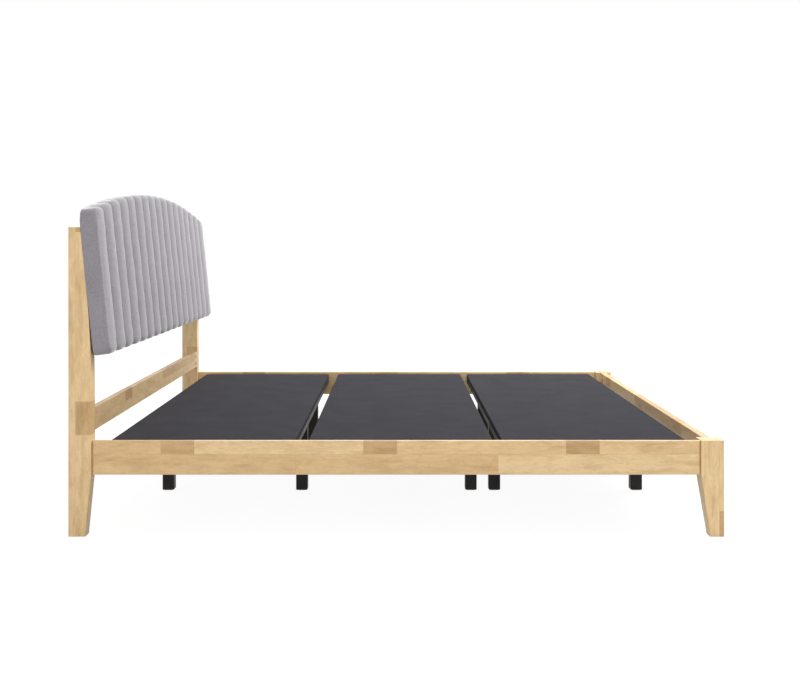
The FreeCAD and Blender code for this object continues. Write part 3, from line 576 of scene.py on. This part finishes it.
def build_cushion():
    """The channelled cushion as one closed mesh, with a group for what is sewn or stapled down."""
    columns = cushion_columns()
    points, fixed, rings = [], [], []
    for across in columns:
        full = puff(across)
        ring = []
        for out, up, share, way in cushion_section(across):
            swell = (CUSHION_DEPTH - CROWN_ROOM - SEAM_DEPTH) * full
            swell += ripple(across, up) * min(full * 2.5, 1) * (1.15 - 0.5 * full)
            ring.append(len(points))
            points.append(cushion_point(out + swell * share, across,
                                        up - way * END_PUFF * (1 - full) * share))
            fixed.append(share < 0.5 or full < 0.12 or HALF_WIDTH - abs(across) < SIDE_PINNED)
        for out, up in back_section(across):
            ring.append(len(points))
            points.append(cushion_point(out, across, up))
            fixed.append(True)
        rings.append(ring)
    faces = []
    count = len(rings[0])
    for left, right in zip(rings, rings[1:]):
        for step in range(count):
            follow = (step + 1) % count
            faces.append((left[step], left[follow], right[follow], right[step]))
    for ring, sign in ((rings[0], -1), (rings[-1], 1)):
        faces += cap_side(points, fixed, ring, sign)
    cushion = mesh_object("cushion", points, faces)
    pins = cushion.vertex_groups.new(name="sewn")
    pins.add([number for number, held in enumerate(fixed) if held], 1.0, "REPLACE")
    shape = bmesh.new()
    shape.from_mesh(cushion.data)
    bmesh.ops.remove_doubles(shape, verts=shape.verts, dist=0.00002)
    bmesh.ops.recalc_face_normals(shape, faces=shape.faces)
    creases = shape.edges.layers.float.new("crease_edge")
    for edge in shape.edges:
        if len(edge.link_faces) == 2 and edge.calc_face_angle() > CREASE_ANGLE:
            edge[creases] = CREASE
    shape.to_mesh(cushion.data)
    shape.free()
    return cushion


def cap_side(points, fixed, ring, sign):
    """The side boxing: rings that shrink to a line, a little crowned."""
    edge = [points[number] for number in ring]
    middle = sum(edge, Vector()) / len(edge)
    up_way = Vector((-math.sin(LEAN), 0, math.cos(LEAN)))
    heights = [(point - middle).dot(up_way) for point in edge]
    reach = max(heights) - SPINE_INSET
    faces = []
    last = ring
    steps = 4
    for step in range(1, steps + 1):
        keep = 1 - step / steps
        now = []
        for point, height in zip(edge, heights):
            spine = middle + up_way * max(min(height, reach), -reach)
            place = spine + (point - spine) * keep
            place.y += sign * SIDE_CROWN * (1 - keep**2)
            now.append(len(points))
            points.append(place)
            fixed.append(True)
        for place in range(len(ring)):
            follow = (place + 1) % len(ring)
            faces.append((last[place], now[place], now[follow], last[follow]))
        last = now
    return faces


CLOTH_FRAMES = 10
CLOTH_CAP = 0.003


def puff_up(cushion):
    """Cloth under pressure, held at seams, sides and staples; it wrinkles as sewn cloth does."""
    before = np.empty(len(cushion.data.vertices) * 3, np.float32)
    cushion.data.vertices.foreach_get("co", before)
    cloth = cushion.modifiers.new("cloth", "CLOTH")
    settings = cloth.settings
    settings.quality = 5
    settings.mass = 0.3
    settings.tension_stiffness = 25
    settings.compression_stiffness = 25
    settings.shear_stiffness = 10
    settings.bending_stiffness = 0.6
    settings.use_pressure = True
    settings.uniform_pressure_force = 4.0
    settings.vertex_group_mass = "sewn"
    settings.effector_weights.gravity = 0
    cloth.point_cache.frame_start = 1
    cloth.point_cache.frame_end = CLOTH_FRAMES
    for number in range(1, CLOTH_FRAMES + 1):
        bpy.context.scene.frame_set(number)
    apply_modifiers(cushion)
    bpy.context.scene.frame_set(1)
    after = np.empty_like(before)
    cushion.data.vertices.foreach_get("co", after)
    moved = (after - before).reshape(-1, 3)
    length = np.linalg.norm(moved, axis=1, keepdims=True)
    moved *= np.minimum(1, CLOTH_CAP / np.maximum(length, 1e-9))
    cushion.data.vertices.foreach_set("co", (before.reshape(-1, 3) + moved).ravel())
    cushion.data.update()


def add_cushion():
    cushion = build_cushion()
    puff_up(cushion)
    finer = cushion.modifiers.new("finer", "SUBSURF")
    finer.levels = finer.render_levels = 1
    apply_modifiers(cushion)
    cushion.data.polygons.foreach_set("use_smooth", [True] * len(cushion.data.polygons))
    dress(cushion, nubby("cushion_cloth", linear(148, 144, 150)))
    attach(cushion, "bed_frame")
    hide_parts("headboard_cushion")


# ---------------------------------------------------------------- deck panels

PANEL_CORNER = 0.014
PANEL_ROUNDING = 0.0012
CORNER_STEPS = 8


def panel_outline(low, high, inset):
    """A rounded rectangle, inset from the panel's box."""
    radius = max(PANEL_CORNER - inset, 0.0005)
    places = []
    for x_side, y_side, first in ((1, 1, 0), (-1, 1, 90), (-1, -1, 180), (1, -1, 270)):
        x = (high.x if x_side > 0 else low.x) - x_side * (inset + radius)
        y = (high.y if y_side > 0 else low.y) - y_side * (inset + radius)
        for step in range(CORNER_STEPS + 1):
            turn = math.radians(first + 90 * step / CORNER_STEPS)
            places.append((x + radius * math.cos(turn), y + radius * math.sin(turn)))
    return places


def add_panel(number):
    """A board in stretched cloth: soft upper edge and a hem turned under the board."""
    low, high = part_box(f"deck_{number}_board")
    levels = [(0.030, low.z), (0.003, low.z), (0.0008, low.z + 0.0008), (0, low.z + 0.003),
              (0, (low.z + high.z) / 2)]
    steps = 3
    for step in range(steps + 1):
        turn = math.pi / 2 * step / steps
        levels.append((PANEL_ROUNDING * (1 - math.cos(turn)),
                       high.z - PANEL_ROUNDING * (1 - math.sin(turn))))
    levels += [(0.012, high.z), (0.030, high.z)]
    points, faces = [], []
    rings = []
    for inset, height in levels:
        ring = []
        for x, y in panel_outline(low, high, inset):
            ring.append(len(points))
            points.append((x, y, height))
        rings.append(ring)
    for lower, upper in zip(rings, rings[1:]):
        for place in range(len(lower)):
            follow = (place + 1) % len(lower)
            faces.append((lower[place], lower[follow], upper[follow], upper[place]))
    faces.append(tuple(reversed(rings[0])))
    faces.append(tuple(rings[-1]))
    panel = mesh_object(f"deck_cover_{number}", points, faces)
    cloth = woven(f"deck_cloth_{number}", linear(58, 57, 61), 0.0016, 0.20, 0.95, 0.0004)
    dress(panel, cloth)
    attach(panel, f"deck_{number}")
    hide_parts(f"deck_{number}_board")


# ---------------------------------------------------------------- floor, light and world


def add_floor():
    """White floor: to the camera and in reflections it is near white, with a soft shadow."""
    m = Nodes("floor_white")
    shade = m.add("ShaderNodeBsdfDiffuse")
    shade.inputs["Color"].default_value = (0.8, 0.8, 0.8, 1)
    seen = m.add("ShaderNodeEmission")
    seen.inputs["Color"].default_value = (1, 1, 1, 1)
    seen.inputs["Strength"].default_value = 1.1
    path = m.add("ShaderNodeLightPath")
    rays = m.math("MAXIMUM", path.outputs["Is Camera Ray"], path.outputs["Is Glossy Ray"])
    rays = m.math("MAXIMUM", rays, path.outputs["Is Transmission Ray"])
    blend = m.add("ShaderNodeMixShader")
    m.link(m.math("MULTIPLY", rays, 0.86), blend.inputs[0])
    m.link(shade.outputs[0], blend.inputs[1])
    m.link(seen.outputs[0], blend.inputs[2])
    m.link(blend.outputs[0], m.output.inputs["Surface"])
    m.tree.nodes.remove(m.shader)
    size = 40.0
    corners = [(-size, -size, 0), (size, -size, 0), (size, size, 0), (-size, size, 0)]
    floor = mesh_object("floor", corners, [(0, 1, 2, 3)], smooth=False)
    dress(floor, m.material)


def add_world():
    """Plain white surroundings, which the camera sees as white."""
    world = bpy.data.worlds.new("world")
    world.use_nodes = True
    tree = world.node_tree
    tree.nodes.clear()
    output = tree.nodes.new("ShaderNodeOutputWorld")
    light = tree.nodes.new("ShaderNodeBackground")
    light.inputs["Color"].default_value = (1, 1, 1, 1)
    light.inputs["Strength"].default_value = 0.66
    seen = tree.nodes.new("ShaderNodeBackground")
    seen.inputs["Color"].default_value = (1, 1, 1, 1)
    path = tree.nodes.new("ShaderNodeLightPath")
    either = tree.nodes.new("ShaderNodeMath")
    either.operation = "MAXIMUM"
    blend = tree.nodes.new("ShaderNodeMixShader")
    tree.links.new(path.outputs["Is Camera Ray"], either.inputs[0])
    tree.links.new(path.outputs["Is Transmission Ray"], either.inputs[1])
    tree.links.new(either.outputs[0], blend.inputs[0])
    tree.links.new(light.outputs[0], blend.inputs[1])
    tree.links.new(seen.outputs[0], blend.inputs[2])
    tree.links.new(blend.outputs[0], output.inputs[0])
    bpy.context.scene.world = world


def add_area(name, place, target, size, power):
    data = bpy.data.lights.new(name, "AREA")
    data.shape = "SQUARE"
    data.size = size
    data.energy = power
    lamp = bpy.data.objects.new(name, data)
    lamp.location = place
    lamp.rotation_euler = (Vector(target) - Vector(place)).to_track_quat("-Z", "Y").to_euler()
    bpy.context.scene.collection.objects.link(lamp)


# ---------------------------------------------------------------- the scene

dress_frame()
dress_hardware()
add_cushion()
for number in (1, 2, 3):
    add_panel(number)
add_floor()
add_world()
add_area("high_key", (3.0, 1.9, 4.0), (-0.3, 0.2, 0.4), 2.6, 310)
add_area("front_fill", (-1.0, -12.0, 4.5), (0, 0, 0.3), 6.0, 380)
add_area("back_soft", (-0.5, 4.6, 3.6), (0, 0, 0.2), 4.0, 80)
add_camera()

scene = bpy.context.scene
scene.view_settings.view_transform = "Standard"
